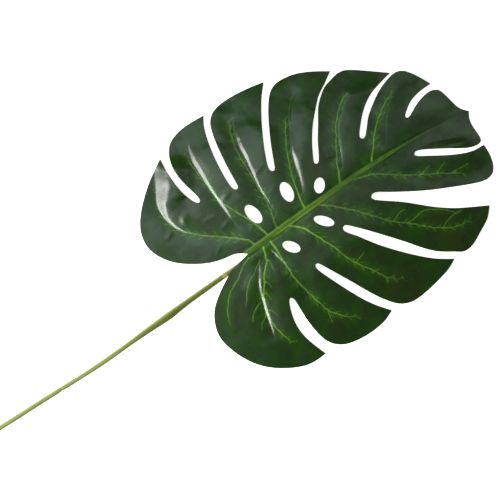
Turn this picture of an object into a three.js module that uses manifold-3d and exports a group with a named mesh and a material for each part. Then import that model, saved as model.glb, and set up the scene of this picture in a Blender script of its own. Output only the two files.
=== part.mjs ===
// A cut monstera leaf lying face up: one blade with fingers, slits and holes, and the stalk it grew on.
// Millimetres, +Z up. +X runs along the midrib towards the leaf's tip and +Y is to its left.
// Plan points are measured from the sinus, the notch where the stalk meets the blade. The finished
// group is then shifted so that its origin is the middle of its bounding box, on the resting plane.
import * as THREE from "three";
import { mergeVertices } from "three/addons/utils/BufferGeometryUtils.js";
import Module from "manifold-3d";

const wasm = await Module();
wasm.setup();

// ---- Driving dimensions ----
const TIP_X = 264.5; // blade's tip, from the sinus
const BACK_X = -79.2; // hindmost point of the basal lobes
const LEFT_Y = 143; // widest reach on the left
const BLADE_THICKNESS = 1.0;
const ARCH_HEIGHT = 17; // the blade's highest part above the surface it lies on
const ARCH_TOP_X = 88;
const ARCH_REACH = 178; // from the highest part to where the vault meets the surface
const ARCH_MIDDLE_Y = 5.75; // midway between the two sides
const ARCH_HALF_WIDTH = 137;
const TROUGH_DEPTH = 3; // how far the midrib lies below the flesh on either side
const TROUGH_WIDTH = 20;
const PLEAT_DEPTH = 2.2; // how far the blade dips along each side vein
const PLEAT_WIDTH = 12;
const MIDRIB_DEPTH = 2.6; // the midrib's extra thickness on the underside, at its root
const MIDRIB_HALF_WIDTH = 3;
const STALK_END_X = -335; // the cut end
const VEIN_STEPS = 16; // straight stretches that stand for each side vein

// ---- Plan outline of the blade ----
// Each row is one smooth run of the edge, and rows meet at a corner. Margins and slits take turns,
// clockwise from the sinus: up the left side to the tip and back along the right side.
const EDGES = [
  // left basal lobe
  [[1, 2], [-9, 8.6], [-20, 10.6], [-35, 15], [-52, 24.5], [-66, 36], [-76, 51], [-79.2, 65],
    [-76, 80], [-67, 93.5], [-52, 108], [-36, 120], [-20, 129.5]],
  [[-20, 129.5], [-21.2, 118], [-21.3, 103], [-19.6, 88], [-16.6, 78.4], [-14.6, 73.8],
    [-12, 71.2], [-9.7, 72.2], [-9.3, 75.8], [-11.4, 86], [-14.3, 101], [-14.4, 115],
    [-11.5, 126], [-4.5, 136], [5, 140.8], [17, 143], [29, 142.8], [40, 142.2]],
  [[40, 142.2], [34.5, 132.5], [29.5, 117], [25.8, 98], [23.9, 80], [23.6, 70], [24.3, 64.6],
    [26.4, 61.6], [29, 62.2], [30, 67], [31.4, 84], [33.8, 103], [37.5, 122], [42, 133],
    [50, 139.8], [63, 142.6], [80, 142], [95, 139.8], [108.5, 136.8]],
  [[108.5, 136.8], [98, 124.5], [86.5, 107], [76, 88], [69, 73], [64.9, 60.6], [66, 57.2],
    [68.7, 56.8], [71, 60.5], [79, 78.5], [90, 99.5], [101, 116.8], [109, 125.3],
    [117, 128.7], [127, 128.8], [140, 125.8], [155, 118.4], [169.5, 109]],
  [[169.5, 109], [157, 101], [146, 94.4], [136.5, 85.3], [125, 73.2], [114, 57.8],
    [106.8, 44.5], [105.4, 41], [107.2, 38.9], [109.9, 40.2], [120, 57], [131, 73],
    [139.5, 85.5], [147.5, 93], [156, 98.8], [166, 101.6], [174, 103.3], [182, 102],
    [195, 93.3], [218.6, 74.8]],
  [[218.6, 74.8], [204, 71.6], [190, 67.4], [176, 58.6], [164.5, 47.2], [157.4, 37.6],
    [158.8, 35], [162, 35.4], [175, 49.5], [188, 59.2], [200, 66.3], [213, 71],
    [224.5, 72.5], [232, 68.6], [240, 57.5], [247, 43.6]],
  [[247, 43.6], [234, 43.2], [221, 40.2], [211.5, 34.4], [206.8, 29.6], [208.6, 27.9],
    [212.4, 28.8], [221, 33.2], [232, 37], [243, 37.9], [250.5, 34], [254, 22.5],
    [257, 10.5], [260, 5], [264.5, 0]],
  // right side, back from the tip
  [[264.5, 0], [261, -6], [259.3, -14], [259.4, -25], [258, -31.6], [252, -33], [241, -29.3],
    [226, -20.2], [211, -11.2], [201, -5.8], [196, -4.6], [193.6, -6.6], [195.4, -9.2],
    [205, -15.2], [221, -24.8], [238, -33], [248, -35.7], [258.3, -36.2]],
  [[258.3, -36.2], [258.2, -46], [255.5, -57.5], [250, -64.8], [242, -66.9], [231, -64.3],
    [212, -56], [189, -45.4], [167, -33.2], [150, -22.6], [141.5, -17.2], [136.6, -16.2],
    [133.9, -18.6], [135.2, -21.8], [142, -27.4], [158, -39.6], [180, -59.4], [198, -72.8],
    [213, -81.2], [229.5, -90]],
  [[229.5, -90], [221, -99.4], [207, -107.4], [194, -113.8], [183.5, -114.8], [174.5, -109.4],
    [161, -100.2], [150.5, -89.6], [139, -74.8], [127, -60], [113, -43.6], [101.5, -31.2],
    [97, -27.2], [93.9, -28], [93.4, -31.6], [101, -42.2], [114, -61], [129, -79],
    [144, -94.8], [156, -105.4], [171, -115.4]],
  [[171, -115.4], [161, -120.6], [145, -124.8], [129, -127.8], [113, -128.4], [101, -123.4],
    [92, -113.6], [83, -99.4], [73, -79.6], [63, -60.4], [56.2, -47.6], [53.7, -43.8],
    [51, -43.8], [50.2, -47.4], [54.5, -59.4], [63, -79.4], [72, -98], [80.5, -111.6],
    [90.4, -124.2]],
  [[90.4, -124.2], [79, -129.2], [63, -131.5], [48, -130.8], [34, -127.6], [24, -120.8],
    [18, -110.4], [15.4, -98], [14.4, -82], [15, -66], [14.6, -60.4], [12.4, -57.8],
    [9.8, -60.2], [4.6, -74], [2.6, -88], [4.6, -103], [11.6, -124]],
  // right basal lobe, back to the sinus
  [[11.6, -124], [-1, -124.8], [-14, -122.4], [-30, -114.4], [-46, -102], [-58, -85.8],
    [-65.5, -67.5], [-68, -52.8], [-64.5, -38], [-56.5, -25.6], [-44, -15.6], [-31, -8],
    [-19, -2.4], [-8, -0.2], [1, 2]],
];

// Holes beside the midrib: centre x, y, the two radii, and the long radius's turn in degrees.
const HOLES = [
  [27.4, 31.8, 11.1, 6, 100],
  [67, 32, 10.4, 6, 83],
  [97.4, 19.6, 7.8, 5.3, 51],
  [81.9, -12.2, 10.4, 4.7, -48],
  [41, -15.9, 9.2, 5.2, -53],
];

const MIDRIB = [[0, 2.5], [50, 5.2], [110, 7.5], [165, 8.2], [215, 6], [TIP_X, 0]];

// Side veins, each from the midrib out to its finger.
const SIDE_VEINS = [
  [[12, 5], [-6, 25], [-38, 54], [-49, 88], [-30, 118]],
  [[28, 7], [17, 34], [4, 72], [5, 115], [12, 134]],
  [[48, 8], [45, 45], [50, 98], [68, 132]],
  [[73, 8], [84, 55], [104, 93], [130, 112]],
  [[114, 9], [138, 50], [160, 77], [186, 88]],
  [[153, 10], [172, 34], [200, 54], [226, 62]],
  [[128, 4], [160, -9], [208, -39], [244, -56]],
  [[82, 4], [120, -25], [160, -73], [200, -96]],
  [[44, 1], [68, -22], [92, -75], [128, -110]],
  [[26, 0], [28, -45], [37, -87], [62, -116]],
  [[16, -1], [-3, -36], [-18, -70], [-14, -104]],
];

// ---- The blade's height over the resting surface ----
const vec = ([x, y]) => new THREE.Vector3(x, y, 0);
const curve = (points) => new THREE.CatmullRomCurve3(points.map(vec), false, "centripetal");
const veinPaths = SIDE_VEINS.map((vein) => curve(vein).getPoints(VEIN_STEPS));
const midribPoints = curve(MIDRIB).getPoints(60);

function midribY(x) {
  const found = midribPoints.findIndex((p) => p.x > x);
  const after = found < 1 ? (x < 0 ? 1 : midribPoints.length - 1) : found;
  const [a, b] = [midribPoints[after - 1], midribPoints[after]];
  const share = THREE.MathUtils.clamp((x - a.x) / (b.x - a.x), 0, 1);
  return THREE.MathUtils.lerp(a.y, b.y, share);
}

// A low vault: highest a third of the way along, and down to the surface at the finger ends.
function arch(x, y) {
  const along = Math.cos(((x - ARCH_TOP_X) / ARCH_REACH) * (Math.PI / 2));
  const across = 1 - Math.pow(Math.abs(y - ARCH_MIDDLE_Y) / ARCH_HALF_WIDTH, 2.3);
  return ARCH_HEIGHT * Math.max(along, 0) * Math.max(across, 0);
}

// The two halves of the blade rise a little from the midrib, which runs along a shallow trough.
function trough(x, y) {
  const begins = THREE.MathUtils.smoothstep(x, -20, 60);
  const fades = 1 - 0.6 * THREE.MathUtils.smoothstep(x, 150, TIP_X);
  return -TROUGH_DEPTH * begins * fades * Math.exp(-Math.abs(y - midribY(x)) / TROUGH_WIDTH);
}

function distanceToPath(path, x, y) {
  const p = new THREE.Vector3(x, y, 0);
  const near = new THREE.Vector3();
  const stretch = new THREE.Line3();
  let least = Infinity;
  for (let i = 1; i < path.length; i++) {
    stretch.set(path[i - 1], path[i]).closestPointToPoint(p, true, near);
    least = Math.min(least, near.distanceTo(p));
  }
  return least;
}

// The blade dips along its side veins, so that the flesh between them stands a little proud.
function pleat(x, y) {
  const nearest = Math.min(...veinPaths.map((path) => distanceToPath(path, x, y)));
  const away = THREE.MathUtils.smoothstep(Math.abs(y - midribY(x)), 4, 30);
  return -PLEAT_DEPTH * away * Math.exp(-Math.pow(nearest / PLEAT_WIDTH, 2));
}

// The midrib stands out on the underside. It begins past the stalk's end, and dies out at the tip.
function midribBulge(x, y) {
  const swell = THREE.MathUtils.smoothstep(x, 8, 24) * THREE.MathUtils.clamp(1 - x / TIP_X, 0, 1);
  const across = (y - midribY(x)) / MIDRIB_HALF_WIDTH;
  return MIDRIB_DEPTH * swell * Math.exp(-across * across);
}

function topHeight(x, y) {
  return BLADE_THICKNESS + Math.max(arch(x, y) + trough(x, y) + pleat(x, y), 0);
}

function bottomHeight(x, y) {
  return Math.max(topHeight(x, y) - BLADE_THICKNESS - midribBulge(x, y), 0);
}

// ---- Solids ----
function solidOf(geometry) {
  const bare = geometry.clone();
  bare.deleteAttribute("normal");
  bare.deleteAttribute("uv");
  const merged = mergeVertices(bare, 1e-4);
  return new wasm.Manifold(new wasm.Mesh({
    numProp: 3,
    vertProperties: new Float32Array(merged.attributes.position.array),
    triVerts: new Uint32Array(merged.index.array),
  }));
}

function geometryOf(solid) {
  const mesh = solid.getMesh();
  const geometry = new THREE.BufferGeometry();
  geometry.setAttribute("position", new THREE.BufferAttribute(mesh.vertProperties, 3));
  geometry.setIndex(new THREE.BufferAttribute(mesh.triVerts, 1));
  geometry.computeVertexNormals();
  return geometry;
}

// A sheet with the blade's top and bottom surfaces, wider than the blade all round. Its rows of
// cells crowd towards the midrib, where the sheet is thickest.
function bladeSheet() {
  const margin = 3;
  const columns = 38;
  const rows = 30;
  const length = TIP_X - BACK_X + 2 * margin;
  const halfWidth = LEFT_Y + 2 * margin;
  const crowding = 1.35;
  const sheet = new THREE.BoxGeometry(length, 2, 2, columns, rows, 1);
  const position = sheet.attributes.position;
  for (let i = 0; i < position.count; i++) {
    const x = position.getX(i) + (TIP_X + BACK_X) / 2;
    const v = position.getY(i);
    const y = midribY(x) + Math.sign(v) * Math.pow(Math.abs(v), crowding) * halfWidth;
    const z = position.getZ(i) > 0 ? topHeight(x, y) : bottomHeight(x, y);
    position.setXYZ(i, x, y, z);
  }
  return solidOf(sheet);
}

function bladePlan() {
  const plan = new THREE.Shape(EDGES.flatMap((edge) => {
    const points = curve(edge).getPoints(2 * (edge.length - 1));
    return points.slice(0, -1).map((p) => new THREE.Vector2(p.x, p.y));
  }));
  for (const [x, y, long, short, turn] of HOLES) {
    const hole = new THREE.Path();
    hole.absellipse(x, y, long, short, 0, 2 * Math.PI, false, THREE.MathUtils.degToRad(turn));
    plan.holes.push(hole);
  }
  const above = 2 * ARCH_HEIGHT;
  const prism = new THREE.ExtrudeGeometry(plan, { depth: above, bevelEnabled: false, curveSegments: 20 });
  prism.translate(0, 0, -above / 4);
  return solidOf(prism);
}

const bladeGeometry = () => geometryOf(bladeSheet().intersect(bladePlan()));

// ---- Stalk ----
// Each station is its place along X, its centre's Y, its radius, and how far its underside is
// clear of the surface. The stalk swells where its sheath ends, and its top end tucks in below the
// blade, just short of the midrib's root.
const STALK = [
  { x: STALK_END_X, y: -6.2, r: 2.4, rise: 0 },
  { x: -290, y: -7.7, r: 2.5, rise: 0 },
  { x: -240, y: -8.5, r: 2.4, rise: 0 },
  { x: -190, y: -9.3, r: 2.4, rise: 0 },
  { x: -150, y: -8.2, r: 2.5, rise: 0 },
  { x: -122, y: -7.2, r: 3.1, rise: 0 },
  { x: -100, y: -6.5, r: 3.8, rise: 0 },
  { x: -82, y: -5.6, r: 3.2, rise: 0 },
  { x: -60, y: -4.4, r: 2.9, rise: 0.6 },
  { x: -32, y: -3.5, r: 2.6, rise: 2.6 },
  { x: -14, y: -3.1, r: 2.4, rise: 5.0 },
  { x: -3, y: -1.4, r: 2.2, rise: 6.6 },
  { x: 7, y: 1.2, r: 1.7, rise: 8.2 },
];

function stalkGeometry() {
  const sides = 12;
  const steps = 48;
  const along = curve(STALK.map((s) => [s.x, s.y]));
  const girth = curve(STALK.map((s) => [s.x, s.r]));
  const lift = curve(STALK.map((s) => [s.x, s.rise]));
  const profile = [new THREE.Vector2(0, 0)];
  for (let i = 0; i <= steps; i++) profile.push(new THREE.Vector2(girth.getPoint(i / steps).y, i / steps));
  profile.push(new THREE.Vector2(0, 1));
  const tube = new THREE.LatheGeometry(profile, sides);
  const position = tube.attributes.position;
  for (let i = 0; i < position.count; i++) {
    const t = position.getY(i);
    const centre = along.getPoint(t);
    const height = girth.getPoint(t).y + Math.max(lift.getPoint(t).y, 0);
    position.setXYZ(i, centre.x, centre.y + position.getZ(i), height + position.getX(i));
  }
  return geometryOf(solidOf(tube));
}

// ---- Materials and the group ----
const bladeGreen = new THREE.MeshStandardMaterial({ color: 0x24401f, roughness: 0.32, metalness: 0 });
const stalkGreen = new THREE.MeshStandardMaterial({ color: 0x8f9d55, roughness: 0.45, metalness: 0 });

function piece(name, geometry, material) {
  const mesh = new THREE.Mesh(geometry, material);
  mesh.name = name;
  return mesh;
}

const leaf = new THREE.Group();
leaf.name = "monstera_leaf";
leaf.add(piece("leaf_blade", bladeGeometry(), bladeGreen));
leaf.add(piece("leaf_stalk", stalkGeometry(), stalkGreen));

const box = new THREE.Box3().setFromObject(leaf);
const middle = box.getCenter(new THREE.Vector3());
leaf.position.set(-middle.x, -middle.y, -box.min.z);

export default leaf;
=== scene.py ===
"""A cut monstera leaf on its stalk, lying face up on a pale table and seen from straight above."""
import math

import bmesh
import bpy
import numpy as np
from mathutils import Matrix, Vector, noise
from mathutils.geometry import delaunay_2d_cdt
from mathutils.kdtree import KDTree


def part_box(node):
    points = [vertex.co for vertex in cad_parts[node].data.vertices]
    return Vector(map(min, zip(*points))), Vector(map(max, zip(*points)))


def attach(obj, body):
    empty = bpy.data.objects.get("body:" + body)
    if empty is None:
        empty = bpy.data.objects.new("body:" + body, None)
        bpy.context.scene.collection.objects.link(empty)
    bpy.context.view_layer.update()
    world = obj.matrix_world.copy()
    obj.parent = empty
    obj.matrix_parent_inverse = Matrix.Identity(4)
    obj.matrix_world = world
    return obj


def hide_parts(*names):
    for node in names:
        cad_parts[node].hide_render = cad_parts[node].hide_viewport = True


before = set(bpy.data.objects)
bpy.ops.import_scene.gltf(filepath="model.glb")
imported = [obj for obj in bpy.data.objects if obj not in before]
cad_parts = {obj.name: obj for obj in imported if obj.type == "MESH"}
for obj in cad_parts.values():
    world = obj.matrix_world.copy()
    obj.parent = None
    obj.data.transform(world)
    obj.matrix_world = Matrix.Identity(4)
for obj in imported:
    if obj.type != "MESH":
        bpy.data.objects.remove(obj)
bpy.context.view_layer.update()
bpy.ops.object.select_all(action="DESELECT")

# ---- Where the leaf lies -----------------------------------------------------------------------
# Plan places on the leaf are given in millimetres from the sinus, the notch where the stalk meets
# the blade: x along the midrib towards the tip, y to the leaf's left.
MM = 0.001
TIP_X = 264.5
LEFT_Y = 143.0
blade_low, blade_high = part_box("leaf_blade")
SINUS = Vector((blade_high.x - TIP_X * MM, blade_high.y - LEFT_Y * MM, 0))


def on_table(x, y, z=0.0):
    """The point x, y, z millimetres from the sinus, in metres in the row's frame."""
    return SINUS + Vector((x, y, z)) * MM


# ---- Camera, table and lamps ---------------------------------------------------------------------
# The camera hangs straight above the leaf and is turned about its own axis, so that the tip
# points up and to the right and the stalk runs out of the lower left corner.
LENS_MM = 85.0
SENSOR_MM = 36.0
FRAME_WIDTH = 500.0  # how much of the table the camera takes in, in mm
FRAME_Z = 2.0  # the height above the table, in mm, at which it takes in just that much
CAMERA_X, CAMERA_Y, TURN_DEGREES = 5.0, 3.9, -33.3
bpy.ops.object.camera_add()
camera = bpy.context.object
camera.name = "camera"
camera.data.lens = LENS_MM
camera.data.sensor_width = SENSOR_MM
camera.data.clip_end = 20
camera.location = on_table(CAMERA_X, CAMERA_Y, FRAME_Z + FRAME_WIDTH * LENS_MM / SENSOR_MM)
camera.rotation_euler = (0, 0, math.radians(TURN_DEGREES))
bpy.context.scene.camera = camera
bpy.context.scene.view_settings.view_transform = "Standard"

# The table is matt, and gives off light of its own, so that it is evenly pale.
bpy.ops.mesh.primitive_plane_add(size=6)
table = bpy.context.object
table.name = "table"
table.data.materials.append(bpy.data.materials.new("table_white"))
table.active_material.use_nodes = True
white = table.active_material.node_tree.nodes["Principled BSDF"].inputs
white["Base Color"].default_value = (0.93, 0.93, 0.92, 1)
white["Roughness"].default_value = 0.9
white["Specular IOR Level"].default_value = 0.1
white["Emission Color"].default_value = (1, 1, 1, 1)
white["Emission Strength"].default_value = 0.85


BLADE_MIDDLE_X = 90


def add_lamp(name, place, size, watts, colour=(1, 1, 1)):
    """A soft lamp that faces the middle of the blade, with its place in mm and its size in metres."""
    bpy.ops.object.light_add(type="AREA", location=on_table(*place))
    lamp = bpy.context.object
    lamp.name = name
    lamp.data.shape = "RECTANGLE"
    lamp.data.size, lamp.data.size_y = size
    lamp.data.energy = watts
    lamp.data.color = colour
    aim = on_table(BLADE_MIDDLE_X, 0) - lamp.location
    lamp.rotation_euler = aim.to_track_quat("-Z", "Y").to_euler()
    return lamp


# The strong lamp stands on the stalk's side. The weak ones hang higher, and lay a cool sheen on the
# lobes that slope their way.
add_lamp("lamp_left", (-1000, 230, 950), (1.2, 0.5), 36)
add_lamp("lamp_above_left", (-240, 620, 1330), (0.85, 0.62), 2.6, (0.9, 1, 1.05))
add_lamp("lamp_above", (60, 190, 1450), (1.1, 0.8), 1.4, (0.95, 1, 1.03))
add_lamp("lamp_tip", (900, 80, 1300), (0.4, 0.4), 0.6, (0.95, 1, 0.98))
sky = bpy.data.worlds.new("studio")
sky.use_nodes = True
sky.node_tree.nodes["Background"].inputs["Color"].default_value = (1, 1, 1, 1)
sky.node_tree.nodes["Background"].inputs["Strength"].default_value = 0.05
bpy.context.scene.world = sky

# ---- Leaf blade ------------------------------------------------------------------------------------
# The blade is one sheet of leaf flesh, about a millimetre thick and waxy on top. It grows whole,
# and its slits and holes open as it unrolls. Its side veins lie in creases on the upper side.
# All its sizes are in millimetres from the sinus, and a run is a list of the places it passes.
ARCH_HEIGHT, ARCH_TOP_X, ARCH_REACH = 17, 88, 178
ARCH_MIDDLE_Y, ARCH_HALF_WIDTH = 5.75, 137
TROUGH_DEPTH, TROUGH_WIDTH = 3, 20
PLEAT_DEPTH, PLEAT_WIDTH = 0.9, 12
BLADE_THICKNESS = 1.0
MIDRIB = [(0, 2.5), (50, 5.2), (110, 7.5), (165, 8.2), (215, 6), (264.5, 0)]
RIB_HALF_WIDTHS = [(0, 3.1), (110, 2.9), (150, 2.3), (180, 1.4), (210, 0.9), (TIP_X, 0.4)]
PLEATS = [
    [(12, 5), (-6, 25), (-38, 54), (-49, 88), (-30, 118)],
    [(28, 7), (17, 34), (4, 72), (5, 115), (12, 134)],
    [(48, 8), (45, 45), (50, 98), (68, 132)],
    [(73, 8), (84, 55), (104, 93), (130, 112)],
    [(114, 9), (138, 50), (160, 77), (186, 88)],
    [(153, 10), (172, 34), (200, 54), (226, 62)],
    [(128, 4), (160, -9), (208, -39), (244, -56)],
    [(82, 4), (120, -25), (160, -73), (200, -96)],
    [(44, 1), (68, -22), (92, -75), (128, -110)],
    [(26, 0), (28, -45), (37, -87), (62, -116)],
    [(16, -1), (-3, -36), (-18, -70), (-14, -104)],
]
# Side veins: how strongly each shows at its root and at its end, and its run outwards.
VEINS = [
    (0.65, 0.3, [(12, 6), (8, 14), (1, 20), (-8, 28), (-26, 42), (-42, 57), (-49, 76), (-46, 98),
                 (-38, 110)]),
    (0.85, 0.35, [(28, 7), (23, 24), (13, 46), (7, 61), (5, 79), (3, 97), (3, 113), (7, 129)]),
    (0.5, 0.4, [(39, 7), (42, 21), (45, 35), (46, 56), (47, 80), (49, 100), (56, 119), (66, 129)]),
    (0.9, 0.55, [(73, 8), (75, 22), (80, 42), (88, 63), (98, 82), (111, 101)]),
    (0.7, 0.6, [(116, 10), (121, 22), (131, 40), (145, 61), (156, 73), (168, 80), (179, 81)]),
    (0.9, 0.55, [(154, 12), (165, 24), (176, 37), (190, 48), (202, 55), (213, 57)]),
    (0.4, 0.5, [(129, 6), (149, -1), (168, -14), (186, -26), (203, -35), (217, -44), (232, -53)]),
    (0.4, 0.55, [(84, 6), (100, -7), (119, -27), (136, -47), (155, -64), (173, -80), (197, -91), (214, -88)]),
    (1.0, 0.3, [(50, 3), (60, -6), (69, -24), (76, -40), (85, -64), (95, -78), (109, -99), (122, -107)]),
    (0.9, 0.5, [(27, 0), (27, -23), (27, -45), (31, -66), (37, -88), (50, -105), (64, -113)]),
    (1.0, 0.7, [(18, -1), (13, -13), (4, -24), (-5, -36), (-14, -53), (-16, -75), (-12, -90), (-8, -101)]),
    (0.8, 0.35, [(0, -2), (-10, -6), (-20, -13), (-34, -20), (-45, -32), (-52, -46), (-53, -54)]),
    (0.35, 0.55, [(8, -9), (-3, -17), (-14, -23), (-24, -34), (-31, -44)]),
    (0.6, 0.4, [(-15, -45), (-22, -48), (-28, -53), (-33, -59)]),
    (0.5, 0.3, [(-17, -58), (-22, -62), (-26, -65), (-29, -70)]),
    (0.5, 0.2, [(14, -12), (15, -19), (13, -28)]),
    (0.5, 0.2, [(0, -29), (2, -34), (2, -41)]),
    (0.5, 0.2, [(-6, -38), (-5, -44), (-4, -50)]),
    (0.5, 0.2, [(-15, -53), (-10, -59), (-7, -67)]),
    (0.5, 0.3, [(37, -87), (35, -96), (34, -103)]),
    (0.5, 0.3, [(86, -64), (94, -61), (99, -60)]),
    (0.5, 0.3, [(100, -87), (103, -94), (102, -100)]),
    (0.5, 0.4, [(140, -50), (147, -47), (157, -47)]),
    (0.5, 0.45, [(150, -60), (160, -59), (171, -58), (182, -64), (193, -73), (200, -81)]),
    (0.4, 0.5, [(177, -83), (184, -80), (190, -78), (197, -78), (206, -79)]),
    (0.5, 0.4, [(186, -26), (195, -25), (202, -24)]),
    (0.5, 0.4, [(201, -34), (208, -32), (216, -29)]),
    (0.5, 0.4, [(215, -42), (226, -43), (237, -43)]),
]
# Sharp creases pressed along the veins. Each is a bank that rises to one hand of its outward run,
# 1 for the right and -1 for the left; it sinks back after so many millimetres, and its widths and
# steepnesses are given from root to end.
CREASES = [
    (1, 30, (1, 1.8, 3, 2, 2.4, 3.4, 2.7, 1), (0.15, 0.26, 0.32, 0.32, 0.34, 0.36, 0.36, 0.05),
     [(11, 20), (7, 31), (5, 50), (4.5, 71), (4.7, 94), (5, 108), (8, 120), (14, 132)]),
    (1, 30, (1, 1.8, 2.3, 2.1, 3.2, 2.9, 2.4, 1), (0.15, 0.28, 0.32, 0.34, 0.36, 0.38, 0.38, 0.05),
     [(46, 18), (46, 34), (46, 50), (49, 70), (51, 84), (53, 99), (59, 116), (68, 127)]),
    (1, 30, (1.5, 3.4, 5.2, 2.1, 1.5, 1.3, 1.1, 0.8), (0.24, 0.36, 0.39, 0.40, 0.41, 0.41, 0.38, 0.05),
     [(77, 17), (83, 32), (88, 50), (94, 65), (102, 79), (112, 96), (123, 107), (137, 110)]),
    (1, 30, (1, 1.6, 1.7, 1.3, 1.6, 1.4, 1), (0.24, 0.45, 0.42, 0.36, 0.43, 0.40, 0.05),
     [(124, 19), (134, 38), (140, 51), (151, 66), (162, 76), (175, 81)]),
    (1, 30, (1, 1.4, 1.6, 1.6, 1.2), (0.08, 0.2, 0.24, 0.2, 0.05),
     [(169, 12), (178, 23), (184, 32), (191, 41), (199, 49), (209, 57)]),
    (1, 20, (0.8, 0.8, 1, 1.2, 1.6, 2.6, 8, 14, 14, 8),
     (0.08, 0.1, 0.14, 0.2, 0.28, 0.33, 0.28, 0.27, 0.27, 0.1),
     [(8, 14), (-8, 28), (-26, 42), (-42, 57), (-49, 76), (-49, 90), (-44, 102), (-36, 118), (-26, 138)]),
    (-1, 30, (1.2, 2.5, 2.4, 2.3, 2.2, 1.7, 1), (0.24, 0.4, 0.4, 0.4, 0.38, 0.32, 0.05),
     [(8, -6), (0, -19), (-8, -32), (-13, -46), (-17, -59), (-20, -72), (-25, -90)]),
    (-1, 20, (1.2, 2.2, 1.8, 1), (0.24, 0.4, 0.34, 0.05), [(21, -3), (23, -15), (25, -25), (26, -36)]),
    (-1, 20, (1, 1.3, 1.3, 1.1, 1), (0.2, 0.34, 0.34, 0.26, 0.05),
     [(51, 2), (60, -6), (66, -18), (73, -33), (79, -48)]),
    (-1, 20, (1, 1, 1), (0.05, 0.28, 0.05), [(27, -52), (30, -62), (35, -74)]),
    (1, 30, (2, 6, 8, 8, 4), (0.04, 0.10, 0.11, 0.10, 0.04),
     [(198, -1), (212, -5), (226, -9), (240, -17), (256, -30)]),
]
# Soft wrinkles, most of them drawn out from the ends of slits and holes: height, half width, run.
WRINKLES = [
    (0.7, 3.0, [(23, 66), (15, 62), (6, 59)]),
    (0.6, 3.0, [(64, 69), (56, 66), (49, 62)]),
    (0.6, 2.5, [(-61, 57), (-54, 60), (-48, 63)]),
    (0.7, 4.0, [(-40, 59), (-33, 65), (-25, 73)]),
    (0.4, 2.2, [(-13, 34), (-2, 38), (11, 41)]),
    (0.4, 2.0, [(-24, 52), (-12, 52), (0, 48)]),
    (0.35, 1.8, [(35, 34), (39, 39), (43, 43)]),
    (0.35, 1.8, [(14, 16), (18, 20), (22, 23)]),
    (0.35, 1.5, [(-28, 14), (-22, 20), (-14, 24)]),
    (0.3, 1.4, [(157, 2), (163, 0), (167, -6)]),
    (1.4, 7.0, [(146, 78), (168, 78), (188, 73), (212, 64)]),
    (0.9, 4.5, [(214, -14), (232, -19), (250, -25), (262, -27)]),
]
# Low swellings beside the ends of slits and at the shoulders: place, radius and height.
SWELLS = [(54, -49, 13, 2.4), (97, -36, 12, 2.0), (-5, -27, 13, 3.2), (62, -16, 11, 1.4)]
# Patches where the green turns bronze: place and radius.
BRONZE = [(180, -80, 15), (184, -103, 10), (112, -113, 15), (101, 36, 9), (40, -104, 9)]


def smooth_line(points, step):
    """Points about step apart on a smooth curve through the ones given."""
    # Knots lie the square root of each gap apart, so that the curve never loops at uneven gaps.
    p = np.array(points, float)
    p = np.vstack([2 * p[0] - p[1], p, 2 * p[-1] - p[-2]])
    made = []
    for a, b, c, d in zip(p[:-3], p[1:-2], p[2:-1], p[3:]):
        knots = np.cumsum([0] + [math.sqrt(max(np.linalg.norm(v), 1e-9)) for v in (b - a, c - b, d - c)])
        count = max(1, round(np.linalg.norm(c - b) / step))
        t = np.linspace(knots[1], knots[2], count, endpoint=False)[:, None]
        ab = (knots[1] - t) / knots[1] * a + t / knots[1] * b
        bc = ((knots[2] - t) * b + (t - knots[1]) * c) / (knots[2] - knots[1])
        cd = ((knots[3] - t) * c + (t - knots[2]) * d) / (knots[3] - knots[2])
        abc = ((knots[2] - t) * ab + t * bc) / knots[2]
        bcd = ((knots[3] - t) * bc + (t - knots[1]) * cd) / (knots[3] - knots[1])
        made.append(((knots[2] - t) * abc + (t - knots[1]) * bcd) / (knots[2] - knots[1]))
    return np.vstack(made + [p[-2:-1]])


def nearest_on(line, places):
    """For each place: its distance from the line, which side it is on, and how far along it lies."""
    start, run = line[:-1], np.diff(line, axis=0)
    length = np.linalg.norm(run, axis=1)
    reached = np.concatenate([[0], np.cumsum(length)])
    away = places[:, None] - start
    share = np.clip((away * run).sum(2) / (length ** 2), 0, 1)
    offset = away - share[:, :, None] * run
    gap = np.linalg.norm(offset, axis=2)
    best = gap.argmin(1)
    rows = np.arange(len(places))
    side = np.sign(run[best, 0] * offset[rows, best, 1] - run[best, 1] * offset[rows, best, 0])
    along = (reached[best] + share[rows, best] * length[best]) / reached[-1]
    return gap[rows, best], side, along


def ease(value, low, high):
    """Rises smoothly from 0 at low to 1 at high."""
    t = np.clip((value - low) / (high - low), 0, 1)
    return t * t * (3 - 2 * t)


def above_zero(value, softness):
    """The value where it is well above 0, levelling off at 0 where it would go below."""
    return (value + np.sqrt(value ** 2 + softness)) / 2


midrib_line = smooth_line(MIDRIB, 4)


def midrib_y(x):
    return np.interp(x, midrib_line[:, 0], midrib_line[:, 1])


def vault(places):
    """The broad shape of the CAD blade, with softer pleats: a low vault with a trough, in mm."""
    x, y = places.T
    along = np.maximum(np.cos((x - ARCH_TOP_X) / ARCH_REACH * math.pi / 2), 0)
    across = np.maximum(1 - (np.abs(y - ARCH_MIDDLE_Y) / ARCH_HALF_WIDTH) ** 2.3, 0)
    rib = np.abs(y - midrib_y(x))
    trough = TROUGH_DEPTH * ease(x, -20, 60) * (1 - 0.6 * ease(x, 150, TIP_X)) * np.exp(-rib / TROUGH_WIDTH)
    vein = np.min([nearest_on(smooth_line(p, 8), places)[0] for p in PLEATS], axis=0)
    pleat = PLEAT_DEPTH * ease(rib, 4, 30) * np.exp(-(vein / PLEAT_WIDTH) ** 2)
    height = ARCH_HEIGHT * along * across - trough - pleat
    return above_zero(height, 0.16)


# The blade's edge is the CAD blade's own edge, drawn smooth between its corners.
UPWARD = 0.3  # the least upward part of a normal on the upper skin


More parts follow.
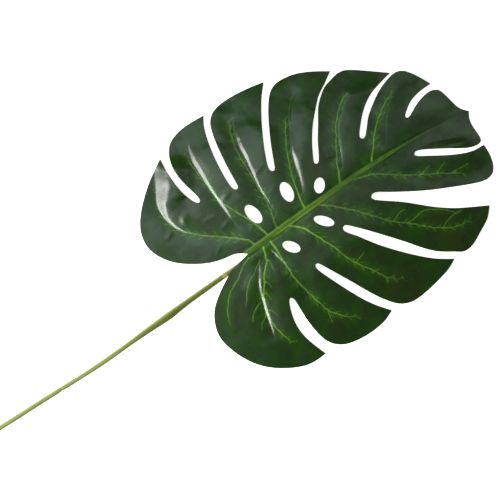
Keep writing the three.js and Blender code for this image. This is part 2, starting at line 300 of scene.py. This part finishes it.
def edge_loops(node):
    """The edges of the node's upper skin as closed rings of plan points, in mm from the sinus."""
    skin = bmesh.new()
    skin.from_mesh(node.data)
    bmesh.ops.remove_doubles(skin, verts=skin.verts, dist=1e-6)
    upper = {f for f in skin.faces if f.normal.z > UPWARD}
    follows = {}
    for f in upper:
        for corner in f.loops:
            if sum(g in upper for g in corner.edge.link_faces) == 1:
                follows[corner.vert] = corner.link_loop_next.vert
    rings = []
    while follows:
        vert = next(iter(follows))
        ring = []
        while vert in follows:
            ring.append((vert.co - SINUS).xy / MM)
            vert = follows.pop(vert)
        rings.append(np.array(ring))
    skin.free()
    return rings


STRAIGHT_DEGREES, CORNER_DEGREES = 1.0, 62
EDGE_STEP = 1.3
EDGE_CLEARANCE = 0.02


def turns(ring):
    """How far the ring turns at each of its points, in degrees."""
    before, after = ring - np.roll(ring, 1, 0), np.roll(ring, -1, 0) - ring
    angle = np.arctan2(after[:, 1], after[:, 0]) - np.arctan2(before[:, 1], before[:, 0])
    return np.degrees(np.abs((angle + math.pi) % (2 * math.pi) - math.pi))


def drawn_smooth(ring, step):
    """The ring with its straight-run points dropped and curves drawn between its sharp corners."""
    ring = ring[turns(ring) > STRAIGHT_DEGREES]
    sharp = np.flatnonzero(turns(ring) > CORNER_DEGREES)
    if len(sharp) == 0:
        return smooth_line(np.vstack([ring[-1:], ring, ring[:2]]), step)[:-1]
    ring = np.roll(ring, -sharp[0], 0)
    sharp = list(sharp - sharp[0]) + [len(ring)]
    closed = np.vstack([ring, ring[:1]])
    return np.vstack([smooth_line(closed[a:b + 1], step)[:-1] for a, b in zip(sharp, sharp[1:])])


rings = [drawn_smooth(ring, EDGE_STEP) for ring in edge_loops(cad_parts["leaf_blade"])]
low, high = [np.array((corner - SINUS).xy / MM) for corner in (blade_low, blade_high)]
rings = [np.clip(ring, low + EDGE_CLEARANCE, high - EDGE_CLEARANCE) for ring in rings]
edge_runs = [np.vstack([ring, ring[:1]]) for ring in rings]


def inside_blade(places):
    """True for the places that lie on the blade, not outside it or in a slit or hole."""
    inside = np.zeros(len(places), bool)
    x, y = places.T
    for run in edge_runs:
        for (x1, y1), (x2, y2) in zip(run[:-1], run[1:]):
            if y1 != y2:
                crosses = ((y1 > y) != (y2 > y)) & (x < (x2 - x1) * (y - y1) / (y2 - y1) + x1)
                inside ^= crosses
    return inside


def grown_tree(points):
    """A search tree that finds the nearest of the points."""
    tree = KDTree(len(points))
    for i, p in enumerate(points):
        tree.insert((*p, 0), i)
    tree.balance()
    return tree


def gaps_from(tree, points):
    """How far each point is from the nearest of those in the tree."""
    return np.array([tree.find((*p, 0))[2] for p in points])


edge_tree = grown_tree(np.vstack(rings))


def runs_of(flags):
    """The first and past-the-last places of each unbroken run of true flags."""
    edges = np.flatnonzero(np.diff(np.concatenate([[0], flags.astype(int), [0]])))
    return list(zip(edges[::2], edges[1::2]))


def kept_inside(lines, margin):
    """The parts of the lines that lie on the blade, at least margin from its edge."""
    points = np.vstack(lines)
    good = inside_blade(points) & (gaps_from(edge_tree, points) >= margin)
    good = np.split(good, np.cumsum([len(line) for line in lines])[:-1])
    return [line[a:b] for line, flags in zip(lines, good) for a, b in runs_of(flags) if b - a > 1]


def beside(line, offset):
    """The line moved sideways, to its left for a positive offset."""
    way = np.gradient(line, axis=0)
    way /= np.linalg.norm(way, axis=1)[:, None]
    return line + offset * np.stack([-way[:, 1], way[:, 0]], 1)


LINE_STEP = 1.5  # mm between the points of a drawn vein, crease or wrinkle
VEINLET_EVERY, VEINLET_LENGTH, VEINLET_STEPS = 3, 9.5, 5
VEINLET_ANGLE, VEINLET_BEND = 0.85, 0.07  # radians from the vein, and how many fewer at each step
BARE_START, BARE_END = 7, 4  # points of a vein that bear no veinlet, near its root and its end


def veinlets_of(line):
    """Fine veinlets that leave a vein in turn, left and right, like the barbs of a feather."""
    made = []
    for k, at in enumerate(range(BARE_START, len(line) - BARE_END, VEINLET_EVERY)):
        way = line[at + 1] - line[at - 1]
        heading = math.atan2(way[1], way[0])
        side = 1 if k % 2 else -1
        reach = VEINLET_LENGTH * (0.65 + 0.35 * math.sin(at * 2.1)) * (1 - 0.45 * at / len(line))
        points = [line[at]]
        for j in range(1, VEINLET_STEPS + 1):
            turn = heading + side * (VEINLET_ANGLE - VEINLET_BEND * j)
            points.append(points[-1] + reach / VEINLET_STEPS * np.array([math.cos(turn), math.sin(turn)]))
        made.append(np.array(points))
    return made


WANDER, WANDERS_PER_MM = 0.9, 0.16


def waved(line):
    """The line with the small wander that a grown vein has."""
    wander = np.array([noise.noise((*p, 3.3)) for p in line * WANDERS_PER_MM])
    return beside(line, WANDER * wander[:, None])


vein_lines = [(root, end, waved(smooth_line(run, LINE_STEP))) for root, end, run in VEINS]
crease_lines = [(*settings, smooth_line(run, LINE_STEP)) for *settings, run in CREASES]
LONG_VEINS = 11  # the first veins listed, which bear veinlets and thicken towards their roots
feathers = [veinlets_of(line) for _, _, line in vein_lines[:LONG_VEINS]]

guides = [line for _, _, line in vein_lines] + [veinlet for feather in feathers for veinlet in feather]
BANK_OFFSETS = (-1.4, 0, 0.8, 1.7, 2.7, 3.8)
RIB_OFFSETS = (-4.2, -3.0, -2.2, -1.2, 0, 1.2, 2.2, 3.0, 4.2)
GUIDE_MARGIN = 0.9
for hand, _, _, _, line in crease_lines:
    guides += [beside(line, -hand * s) for s in BANK_OFFSETS]
rib = smooth_line(MIDRIB, LINE_STEP)
guides += [beside(rib, s) for s in RIB_OFFSETS]
guides = kept_inside(guides, GUIDE_MARGIN)

# The plan is filled with small, even triangles that follow the edge, the veins and the creases.
CELL = 1.6
DRAWN_MARGIN = 0.62 * CELL
WELD = 1e-4  # mm within which two points of the plan are one
plan, pairs = [], []
for run in rings:
    first = len(plan)
    plan += list(run)
    pairs += [(first + i, first + (i + 1) % len(run)) for i in range(len(run))]
for run in guides:
    first = len(plan)
    plan += list(run)
    pairs += [(first + i, first + i + 1) for i in range(len(run) - 1)]
columns = np.arange(low[0], high[0], CELL)
rows = np.arange(low[1], high[1], CELL * math.sqrt(0.75))
fill = np.array([(x + (j % 2) * CELL / 2, y) for j, y in enumerate(rows) for x in columns])
fill = fill[inside_blade(fill)]
plan += list(fill[gaps_from(grown_tree(plan), fill) > DRAWN_MARGIN])
laid = delaunay_2d_cdt([Vector(p) for p in plan], pairs, [], 0, WELD)
places = np.array(laid[0])
faces = np.array(laid[2])
faces = faces[inside_blade(places[faces].mean(1))]


def close_to(line, margin):
    """The places in a box about the line, which are the only ones that it can matter to."""
    return np.flatnonzero(((places > line.min(0) - margin) & (places < line.max(0) + margin)).all(1))


x, y = places.T
rib_gap = np.abs(y - midrib_y(x))
rib_half = np.interp(x, *np.array(RIB_HALF_WIDTHS).T)
edge_gap = gaps_from(edge_tree, places)
FAR = 99.0
VEIN_REACH, VEINLET_REACH = 10, 3  # mm beyond which a vein or veinlet doesn't matter
vein_gap = np.full(len(places), FAR)
vein_strength = np.zeros(len(places))
for k, (root, end, line) in enumerate(vein_lines):
    near = close_to(line, VEIN_REACH)
    gap, _, along = nearest_on(line, places[near])
    if k < LONG_VEINS:
        gap /= 1 + 1.1 * np.exp(-along * 5)
    nearer = gap < vein_gap[near]
    shown = (root + (end - root) * along) * (1 - ease(along, 0.8, 1.0))
    vein_gap[near[nearer]] = gap[nearer]
    vein_strength[near[nearer]] = shown[nearer]
veinlet_gap = np.full(len(places), FAR)
for feather in feathers:
    for line in feather:
        near = close_to(line, VEINLET_REACH)
        veinlet_gap[near] = np.minimum(veinlet_gap[near], nearest_on(line, places[near])[0])

# Each crease dips gently to a groove, climbs a short steep bank, rises a little further as it
# flattens, and sinks back over the rest of the lobe.
GROOVE, DIP_LENGTH, GROOVE_LENGTH = 1.3, 10.0, 24
SHOULDER, SHOULDER_LENGTH = 0.06, 14.0
FULL_STEEP = 0.34  # the steepness at which the groove and shoulder have their full size
BANK_STEPS = 41
BANK_FOOT, BANK_TOP = 0.15, 0.35  # the shares of a bank's width in which it steepens and flattens
BANK_SPREAD = 1.33  # how much wider that makes it for the same height
share = np.linspace(0, 1, BANK_STEPS)
climb = np.cumsum(np.clip(np.minimum(share / BANK_FOOT, (1 - share) / BANK_TOP), 0, 1)) / BANK_STEPS
creasing = np.zeros(len(places))
for hand, sinking, widths, steeps, line in crease_lines:
    gap, side, along = nearest_on(line, places)
    t = -gap * side * hand
    width = np.interp(along, np.linspace(0, 1, len(widths)), widths)
    steep = np.interp(along, np.linspace(0, 1, len(steeps)), steeps)
    past = np.maximum(t - width, 0)
    bank = BANK_SPREAD * steep * width * np.interp(t / (BANK_SPREAD * width), share, climb)
    eased = SHOULDER_LENGTH * (1 - np.exp(-np.maximum(t, 0) / SHOULDER_LENGTH))
    shoulder = SHOULDER * steep / FULL_STEEP * eased
    groove = GROOVE * steep / FULL_STEEP * np.exp(-np.maximum(-t, 0) / DIP_LENGTH)
    shape = (bank + shoulder) * np.exp(-(past / sinking) ** 4) - groove * np.exp(-past / GROOVE_LENGTH)
    creasing += shape * ease(along, 0, 0.12) * (1 - ease(along, 0.9, 1))

wrinkling = np.zeros(len(places))
for height, half, run in WRINKLES:
    near = close_to(np.array(run, float), 4 * half)
    gap, _, along = nearest_on(smooth_line(run, LINE_STEP), places[near])
    wrinkling[near] += height * np.exp(-(gap / half) ** 2) * ease(along, 0, 0.5) * (1 - ease(along, 0.5, 1))
swelling = np.zeros(len(places))
for px, py, radius, height in SWELLS:
    swelling += height * np.exp(-((x - px) ** 2 + (y - py) ** 2) / radius ** 2)
bronze = np.max([np.exp(-((x - px) ** 2 + (y - py) ** 2) / r ** 2) for px, py, r in BRONZE], axis=0)

# The flesh between the veins is slightly quilted, with finer puckers.
QUILT_HEIGHT, QUILTS_PER_MM = 0.4, 0.055
PUCKER_HEIGHT, PUCKERS_PER_MM = 0.08, 0.16
quilt = np.array([noise.noise((*p, 1.7)) for p in places * QUILTS_PER_MM])
pucker = np.array([noise.noise((*p, 5.1)) for p in places * PUCKERS_PER_MM])
flesh = ease(np.minimum(vein_gap, rib_gap), 1, 8) * (QUILT_HEIGHT * quilt + PUCKER_HEIGHT * pucker)

# The midrib stands up a little between two furrows, and a pale line runs along each of its sides.
RIB_HEIGHT, FURROW_DEPTH = 0.3, 0.35
VEIN_DEPTH = 0.08
across_rib = (y - midrib_y(x)) / rib_half
rib_relief = RIB_HEIGHT * np.maximum(1 - across_rib ** 2, 0)
rib_relief -= FURROW_DEPTH * np.exp(-((np.abs(across_rib) - 1.25) / 0.4) ** 2)
rib_relief *= np.clip(rib_half / 3, 0, 1)
rib_line = np.exp(-((across_rib + 0.75) / 0.28) ** 2) * ease(x, 24, 44) * (1 - ease(x, 74, 120))
rib_line += 0.5 * np.exp(-((across_rib - 0.7) / 0.25) ** 2) * ease(x, 4, 20) * (1 - ease(x, 60, 120))
top = vault(places) + BLADE_THICKNESS + creasing + wrinkling + swelling + flesh + rib_relief
top -= VEIN_DEPTH * vein_strength * np.exp(-(vein_gap / 1.1) ** 2)

# The upper skin levels off just under the CAD blade's highest point.
ceiling = blade_high.z / MM - 0.05
top = ceiling - above_zero(ceiling - top, 0.3)

# The blade thins towards its edge. Midrib and veins stand out below, but not over the stalk's end.
THIN_EDGE, EDGE_THICKENING, EDGE_BAND = 0.45, 0.5, 7
RIB_BULGE, VEIN_BULGE = 2.3, 0.45
LEAST_THICKNESS = 0.4
thickness = THIN_EDGE + EDGE_THICKENING * ease(edge_gap, 0, EDGE_BAND)
bulge = RIB_BULGE * ease(x, 8, 24) * np.clip(1 - x / TIP_X, 0, 1) * np.exp(-(rib_gap / 3.0) ** 2)
clear_of_stalk = ease(x ** 2 + y ** 2, 150, 400)
bulge += VEIN_BULGE * clear_of_stalk * vein_strength * np.exp(-(vein_gap / 1.2) ** 2)
bottom = np.maximum(top - thickness - bulge, 0)
top = np.maximum(top, bottom + LEAST_THICKNESS)

# Both skins share one plan, and a wall of narrow faces joins them all round the edge.
count = len(places)
mesh = bpy.data.meshes.new("blade")
corners = [on_table(*p, z) for level in (top, bottom) for p, z in zip(places, level)]
skins = [tuple(f) for f in faces] + [tuple(f[::-1] + count) for f in faces]
used = {pair: None for f in faces for pair in ((f[0], f[1]), (f[1], f[2]), (f[2], f[0]))}
walls = [(b, a, a + count, b + count) for a, b in used if (b, a) not in used]
mesh.from_pydata(corners, [], skins + walls)
mesh.update()
blade = bpy.data.objects.new("blade", mesh)
bpy.context.scene.collection.objects.link(blade)
masks = {"rib_share": np.abs(across_rib), "rib_line": rib_line, "rib_fade": 1 - ease(x, 165, 245),
         "vein_gap": vein_gap, "vein_strength": vein_strength, "veinlet_gap": veinlet_gap, "bronze": bronze}
for name, values in masks.items():
    field = mesh.attributes.new(name, "FLOAT", "POINT")
    field.data.foreach_set("value", np.tile(values, 2).astype(np.float32))
UNDERSIDE = -0.5  # a face whose normal is lower than this is on the underside
body = bmesh.new()
body.from_mesh(mesh)
bmesh.ops.delete(body, geom=[v for v in body.verts if not v.link_faces], context="VERTS")
for face in body.faces:
    face.smooth = True
    face.material_index = 1 if face.normal.z < UNDERSIDE else 0
body.to_mesh(mesh)
body.free()
bpy.context.view_layer.objects.active = blade
blade.select_set(True)
bpy.ops.object.shade_smooth_by_angle(angle=math.radians(40))
bpy.ops.object.select_all(action="DESELECT")


def add_node(tree, kind, inputs=(), **settings):
    """A shader node with its settings made and its inputs linked or set."""
    made = tree.nodes.new(kind)
    for key, value in settings.items():
        setattr(made, key, value)
    for key, value in dict(inputs).items():
        if isinstance(value, bpy.types.NodeSocket):
            tree.links.new(value, made.inputs[key])
        else:
            made.inputs[key].default_value = value
    return made


def field_of(tree, name):
    """What the mesh's own attribute of that name holds."""
    return add_node(tree, "ShaderNodeAttribute", attribute_name=name).outputs["Fac"]


def ramp_down(tree, value, full, none):
    """1 where the value is full or less, easing to 0 where it is none or more."""
    return add_node(tree, "ShaderNodeMapRange", {"Value": value, "From Min": full, "From Max": none,
                                                 "To Min": 1.0, "To Max": 0.0},
                    interpolation_type="SMOOTHSTEP").outputs["Result"]


def times(tree, a, b):
    """One mask thinned by another mask or by a number."""
    return add_node(tree, "ShaderNodeMath", {0: a, 1: b}, operation="MULTIPLY").outputs[0]


def blend_colours(tree, share, below, above):
    """The colour above laid over the one below as far as the share says."""
    mixed = add_node(tree, "ShaderNodeMix", {"Factor": share}, data_type="RGBA")
    a, b = [s for s in mixed.inputs if s.type == "RGBA"]
    for socket, value in ((a, below), (b, above)):
        if isinstance(value, bpy.types.NodeSocket):
            tree.links.new(value, socket)
        else:
            socket.default_value = (*value, 1)
    return [s for s in mixed.outputs if s.type == "RGBA"][0]


# The natural mottling of leaf and stalk: patches of each material's own size, drawn out lengthwise
# into streaks where there are fewer of them to the metre along the leaf than across it.
mottling = bpy.data.node_groups.new("mottling", "ShaderNodeTree")
mottling.interface.new_socket("Patches", in_out="INPUT", socket_type="NodeSocketVector")
mottling.interface.new_socket("Detail", in_out="INPUT", socket_type="NodeSocketFloat")
mottling.interface.new_socket("Roughness", in_out="INPUT", socket_type="NodeSocketFloat")
mottling.interface.new_socket("Mask", in_out="OUTPUT", socket_type="NodeSocketFloat")
given = add_node(mottling, "NodeGroupInput").outputs
spread = add_node(mottling, "ShaderNodeMapping", {
    "Vector": add_node(mottling, "ShaderNodeTexCoord").outputs["Object"], "Scale": given["Patches"]})
patches = add_node(mottling, "ShaderNodeTexNoise", {
    "Vector": spread.outputs["Vector"], "Scale": 1.0, "Detail": given["Detail"],
    "Roughness": given["Roughness"]})
add_node(mottling, "NodeGroupOutput", {"Mask": patches.outputs["Fac"]})


def mottled(tree, along, across, detail=3.0, rough=0.5):
    """The mottling with so many patches to the metre along the leaf and across it."""
    return add_node(tree, "ShaderNodeGroup", {"Patches": (along, across, across), "Detail": detail,
                                              "Roughness": rough}, node_tree=mottling).outputs["Mask"]


def new_material(name):
    """A material with its node tree and the sockets that set its surface."""
    material = bpy.data.materials.new(name)
    material.use_nodes = True
    return material, material.node_tree, material.node_tree.nodes["Principled BSDF"]


# The upper side is dark green flesh under wax, with patches of brighter green and bronze. Each vein
# has a pale thread and a brighter green halo, and the midrib is a streaky yellow-green band.
leaf_green, tree, wax = new_material("leaf_green")
tone = mottled(tree, 11, 11, 2)
mottle = mottled(tree, 70, 70, 4, 0.6)
grain = mottled(tree, 500, 500, 3, 0.6)
deep = blend_colours(tree, ramp_down(tree, tone, 0.35, 0.65),
                     (0.0108, 0.0255, 0.0040), (0.0085, 0.0275, 0.0052))
flecked = blend_colours(tree, ramp_down(tree, mottle, 0.35, 0.6), deep, (0.0115, 0.0390, 0.0036))
browned = blend_colours(tree, times(tree, field_of(tree, "bronze"), ramp_down(tree, mottle, 0.3, 0.65)),
                        flecked, (0.026, 0.024, 0.005))
near_vein = times(tree, ramp_down(tree, field_of(tree, "vein_gap"), 0.5, 9.0),
                  field_of(tree, "vein_strength"))
halo = times(tree, near_vein, ramp_down(tree, mottle, 0.3, 0.75))
haloed = blend_colours(tree, halo, browned, (0.022, 0.080, 0.004))
barb = times(tree, ramp_down(tree, field_of(tree, "veinlet_gap"), 0.08, 0.65),
             ramp_down(tree, mottle, 0.4, 0.7))
barbed = blend_colours(tree, times(tree, barb, 0.8), haloed, (0.052, 0.145, 0.010))
thread = times(tree, ramp_down(tree, field_of(tree, "vein_gap"), 0.15, 0.8),
               field_of(tree, "vein_strength"))
broken = add_node(tree, "ShaderNodeMapRange", {
    "Value": mottled(tree, 260, 260, 2), "From Min": 0.3, "From Max": 0.6,
    "To Min": 0.45, "To Max": 1.0}).outputs["Result"]
threaded = blend_colours(tree, times(tree, thread, broken), barbed, (0.15, 0.30, 0.038))
rib_band = times(tree, ramp_down(tree, field_of(tree, "rib_share"), 0.75, 1.1), field_of(tree, "rib_fade"))
rib_green = blend_colours(tree, ramp_down(tree, mottled(tree, 70, 900), 0.4, 0.6),
                          (0.024, 0.074, 0.001), (0.056, 0.128, 0.001))
rib_lined = blend_colours(tree, field_of(tree, "rib_line"), rib_green, (0.14, 0.26, 0.012))
ribbed = blend_colours(tree, rib_band, threaded, rib_lined)
tree.links.new(ribbed, wax.inputs["Base Color"])
gloss = add_node(tree, "ShaderNodeMapRange", {"Value": mottle, "From Min": 0.3, "From Max": 0.7,
                                              "To Min": 0.2, "To Max": 0.29}).outputs["Result"]
tree.links.new(gloss, wax.inputs["Roughness"])
bump = add_node(tree, "ShaderNodeBump", {"Height": grain, "Strength": 0.06, "Distance": 0.0004})
tree.links.new(bump.outputs["Normal"], wax.inputs["Normal"])

# The underside is paler and matt, and its veins and midrib are paler still.
leaf_back, tree, felt = new_material("leaf_back")
cloud = mottled(tree, 40, 40, 4, 0.6)
pale = blend_colours(tree, ramp_down(tree, cloud, 0.35, 0.65), (0.050, 0.105, 0.030), (0.064, 0.130, 0.036))
back_vein = times(tree, ramp_down(tree, field_of(tree, "vein_gap"), 0.5, 1.6),
                  field_of(tree, "vein_strength"))
back_veined = blend_colours(tree, back_vein, pale, (0.16, 0.28, 0.075))
back_band = ramp_down(tree, field_of(tree, "rib_share"), 0.7, 1.3)
tree.links.new(blend_colours(tree, back_band, back_veined, (0.20, 0.33, 0.085)), felt.inputs["Base Color"])
felt.inputs["Roughness"].default_value = 0.6
fibre = add_node(tree, "ShaderNodeBump", {
    "Height": mottled(tree, 700, 700), "Strength": 0.15, "Distance": 0.0004})
tree.links.new(fibre.outputs["Normal"], felt.inputs["Normal"])
blade.data.materials.append(leaf_green)
blade.data.materials.append(leaf_back)
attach(blade, "root")
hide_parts("leaf_blade")

# ---- Leaf stalk ------------------------------------------------------------------------------------
# The stalk is round and solid and bends up under the blade to carry it at the sinus. The sheath of
# the next leaf has left a swelling on it, a knee near the top and a nick lower down.
# Stations: x, y, half width and height above the table of its under side.
STALK = [
    (-335, -6.2, 2.4, 0), (-334.6, -6.2, 2.4, 0), (-320, -6.8, 2.6, 0), (-290, -7.7, 2.7, 0),
    (-270, -8.0, 2.5, 0), (-250, -8.1, 2.65, 0), (-236, -8.5, 2.6, 0), (-231, -8.6, 2.5, 0),
    (-229.4, -8.4, 1.9, 0.4), (-228, -8.4, 2.0, 0.3), (-226.6, -8.8, 2.6, 0), (-220, -8.9, 2.4, 0),
    (-200, -9.4, 2.4, 0), (-180, -9.4, 2.7, 0), (-160, -8.7, 2.6, 0), (-150, -8.2, 2.45, 0),
    (-136, -7.5, 3.0, 0), (-120, -7.0, 3.3, 0), (-110, -6.8, 3.8, 0), (-100, -6.5, 4.1, 0),
    (-93, -6.2, 4.0, 0), (-86, -5.6, 3.4, 0.1), (-70, -4.8, 3.0, 0.3), (-56, -4.3, 2.95, 0.7),
    (-40, -3.8, 2.8, 1.8), (-32.5, -3.5, 2.7, 2.5), (-31, -3.4, 2.95, 2.5), (-29, -3.3, 2.95, 2.7),
    (-27.5, -3.3, 2.6, 3.1), (-20, -3.2, 2.5, 4.1), (-12, -2.8, 2.3, 5.3), (-3, -1.4, 2.2, 6.6),
    (3, 0.2, 2.0, 7.6), (6, 0.9, 1.7, 8.2), (7, 1.2, 1.2, 8.9),
]
at_x, at_y, half_widths, _ = np.array(STALK).T
centres = [on_table(x, y, r + lift) for x, y, r, lift in STALK]
bpy.ops.mesh.primitive_circle_add(vertices=16, radius=STALK[0][2] * MM, fill_type="NGON",
                                  location=centres[0], rotation=(0, math.radians(90), 0))
stalk = bpy.context.object
stalk.name = "stalk"
bpy.ops.object.mode_set(mode="EDIT")
bpy.ops.mesh.select_all(action="SELECT")
for i in range(1, len(STALK)):
    bpy.ops.mesh.extrude_region_move(TRANSFORM_OT_translate={"value": centres[i] - centres[i - 1]})
    growth = half_widths[i] / half_widths[i - 1]
    bpy.ops.transform.resize(value=(1, growth, growth))
bpy.ops.mesh.select_all(action="SELECT")
bpy.ops.mesh.normals_make_consistent(inside=False)
bpy.ops.object.mode_set(mode="OBJECT")
bpy.ops.object.transform_apply(location=True, rotation=True, scale=True)
bpy.ops.object.modifier_add(type="SUBSURF")
stalk.modifiers["Subdivision"].levels = 2
bpy.ops.object.modifier_apply(modifier="Subdivision")
bpy.ops.object.shade_smooth_by_angle(angle=math.radians(50))

spots = np.array([(v.co - SINUS)[:] for v in stalk.data.vertices]) / MM
along, across, _ = spots.T
leftward = (across - np.interp(along, at_x, at_y)) / np.interp(along, at_x, half_widths)
for name, values in {"leftward": leftward, "reach": along}.items():
    field = stalk.data.attributes.new(name, "FLOAT", "POINT")
    field.data.foreach_set("value", values.astype(np.float32))

# The skin is olive near the blade and paler towards the cut end, with fine lengthwise streaks, a
# painted shade along its right side, a painted highlight along its left side and a tan ring at the knee.
stalk_skin, tree, skin = new_material("stalk_skin")
reach = field_of(tree, "reach")
cut_end_part = ramp_down(tree, reach, -240, -160)
middle_part = ramp_down(tree, reach, -110, -170)
olive = blend_colours(tree, middle_part, (0.190, 0.232, 0.048), (0.092, 0.105, 0.003))
greyed = blend_colours(tree, cut_end_part, olive, (0.188, 0.226, 0.068))
streak = mottled(tree, 40, 900)
streaked = blend_colours(tree, times(tree, ramp_down(tree, streak, 0.35, 0.6), 0.45), greyed,
                         (0.10, 0.13, 0.015))
leftward = field_of(tree, "leftward")
# Painted shade darkens the stalk's right side, and a painted highlight pales its left side.
painted_shade_mask = ramp_down(tree, leftward, -0.95, -0.1)
with_painted_shade = blend_colours(tree, times(tree, painted_shade_mask, 0.7), streaked, (0.065, 0.075, 0.005))
painted_highlight_mask = ramp_down(tree, leftward, 0.95, 0.2)
with_painted_highlight = blend_colours(tree, times(tree, painted_highlight_mask, 0.6), with_painted_shade, (0.48, 0.54, 0.26))
knee = times(tree, ramp_down(tree, reach, -28, -26), ramp_down(tree, reach, -31, -33.5))
ringed = blend_colours(tree, times(tree, knee, 0.6), with_painted_highlight, (0.36, 0.32, 0.12))
tree.links.new(ringed, skin.inputs["Base Color"])
skin.inputs["Roughness"].default_value = 0.6
skin.inputs["Specular IOR Level"].default_value = 0.3
ridges = add_node(tree, "ShaderNodeBump", {"Height": streak, "Strength": 0.25, "Distance": 0.0003})
tree.links.new(ridges.outputs["Normal"], skin.inputs["Normal"])
stalk.data.materials.append(stalk_skin)
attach(stalk, "root")
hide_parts("leaf_stalk")
